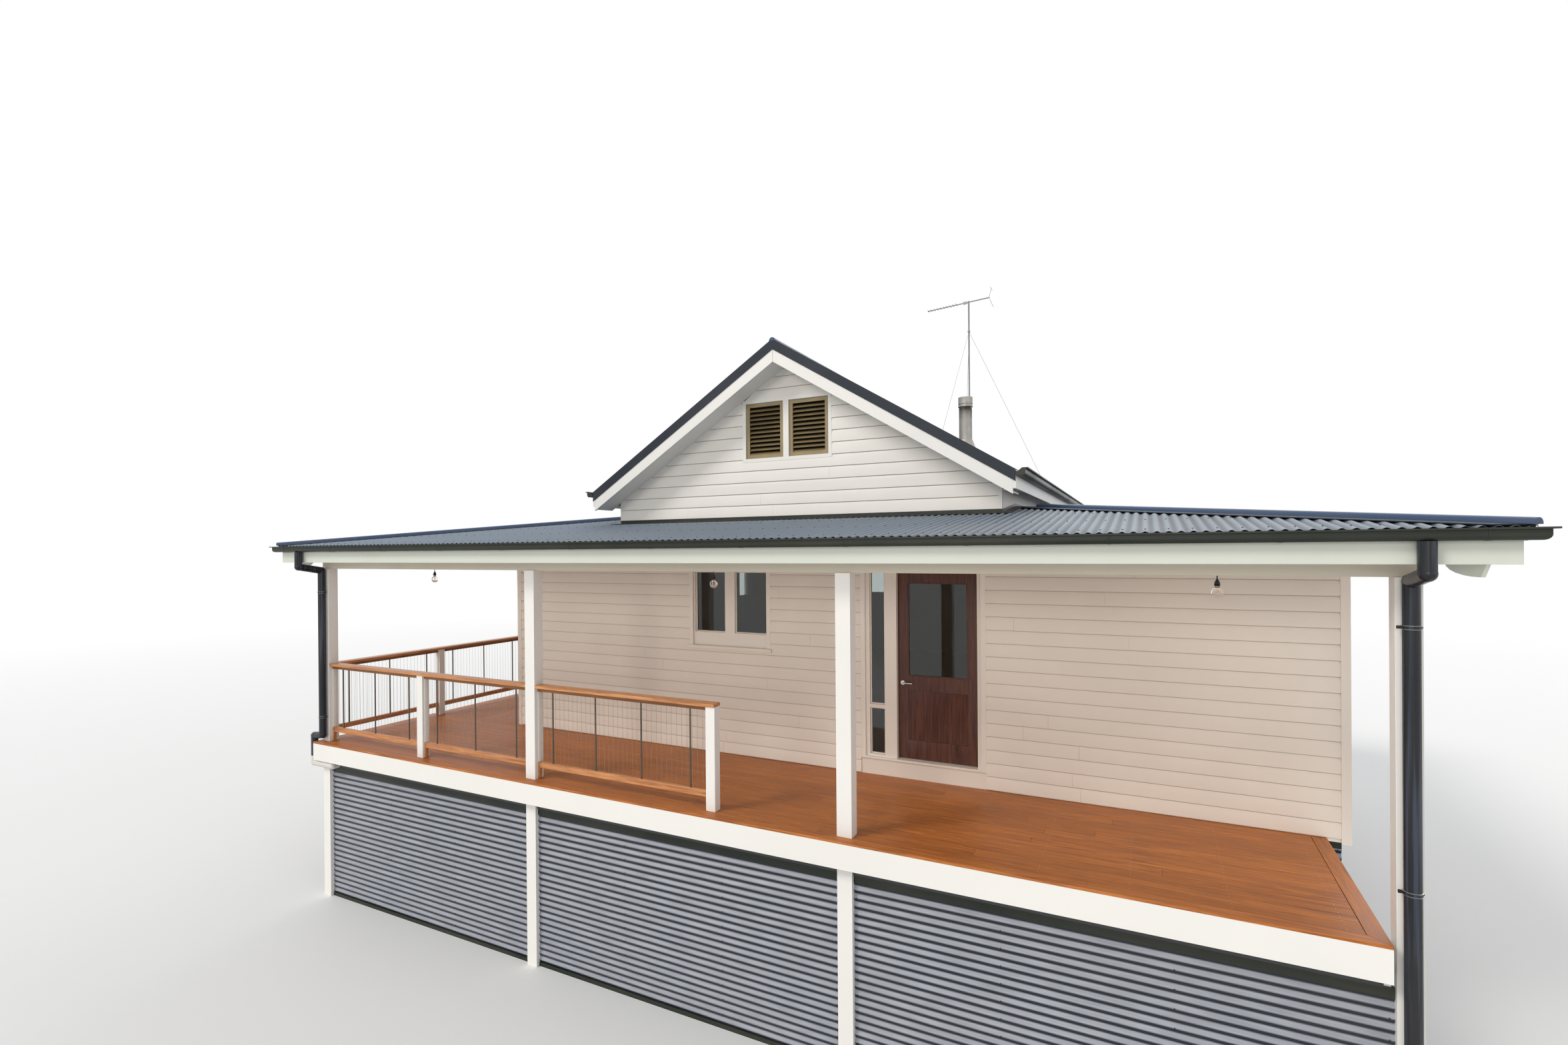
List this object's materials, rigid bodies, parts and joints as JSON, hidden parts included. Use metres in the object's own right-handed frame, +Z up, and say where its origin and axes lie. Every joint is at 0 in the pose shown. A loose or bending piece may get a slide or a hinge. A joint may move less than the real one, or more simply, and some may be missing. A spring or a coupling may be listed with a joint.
{
  "type": "beach house",
  "caption": "Single-storey weatherboard beach house on stumps with a gabled centre, low hipped roof, timber deck, balustrade and a hinged front door; hollow inside.",
  "frame": {"origin": "middle of the roof's gutter line in plan, on the level of the lowest ground where posts, stumps and base cladding stand", "axes": "+X to the house's right seen from the front, +Y from the front to the rear, +Z up"},
  "size_m": [13.15, 13.15, 9.3325],
  "materials": {
    "white": "painted white, low sheen",
    "lining": "painted white, flat",
    "roofing": "dark blue-grey coated steel, satin",
    "cladding": "charcoal coated corrugated steel, glossy",
    "decking": "oiled hardwood, orange-red",
    "framing": "rough sawn",
    "dark_timber": "painted charcoal",
    "floorboards": "clear sealed boards",
    "galvanised": "galvanised, dull",
    "bronze": "bronze-olive powder coat",
    "glazing": "clear",
    "hardware": "satin",
    "pipe_paint": "dark grey, semi-gloss",
    "pipe_plastic": "off-white, dull",
    "lamp_black": "black, satin",
    "door_timber": "dark red-brown stain, satin"
  },
  "bodies": {
    "house": {"front_wall_left": "white", "front_wall_right": "white", "front_wall_at_door": "white", "left_wall": "white", "right_wall": "white", "rear_wall": "white", "upper_walls": "white", "barge_boards": "white", "gable_soffits": "white", "upper_eaves": "white", "eave_fascias": "white", "verandah_beams": "white", "verandah_posts": "white", "newel_posts": "white", "deck_rims": "white", "vent_surrounds": "white", "window_frames": "white", "door_frame": "white", "stumps": "white", "ceiling_lining": "lining", "upper_roof": "roofing", "lower_roof": "roofing", "roof_cappings": "roofing", "wall_flashings": "roofing", "upper_gutters": "roofing", "eave_gutters": "roofing", "base_cladding": "cladding", "deck": "decking", "balustrade_rails": "decking", "deck_joists": "framing", "deck_bearers": "dark_timber", "floor": "floorboards", "steel_uprights": "galvanised", "flue": "galvanised", "aerial": "galvanised", "gable_vents": "bronze", "window_glass": "glazing", "light_bulbs": "glazing", "door_hinges": "hardware", "downpipes": "pipe_paint", "stormwater_pipe": "pipe_plastic", "pendant_lights": "lamp_black"},
    "front_door": {"front_door": "door_timber", "door_glass": "glazing", "door_handles": "hardware"}
  },
  "joints": [
    {"name": "front_door_hinge", "type": "hinge", "parent": "house", "child": "front_door", "pos_m": [2.754, -3.852, 2.471], "axis": [0, 0, -1], "range_deg": [0, 90]}
  ]
}
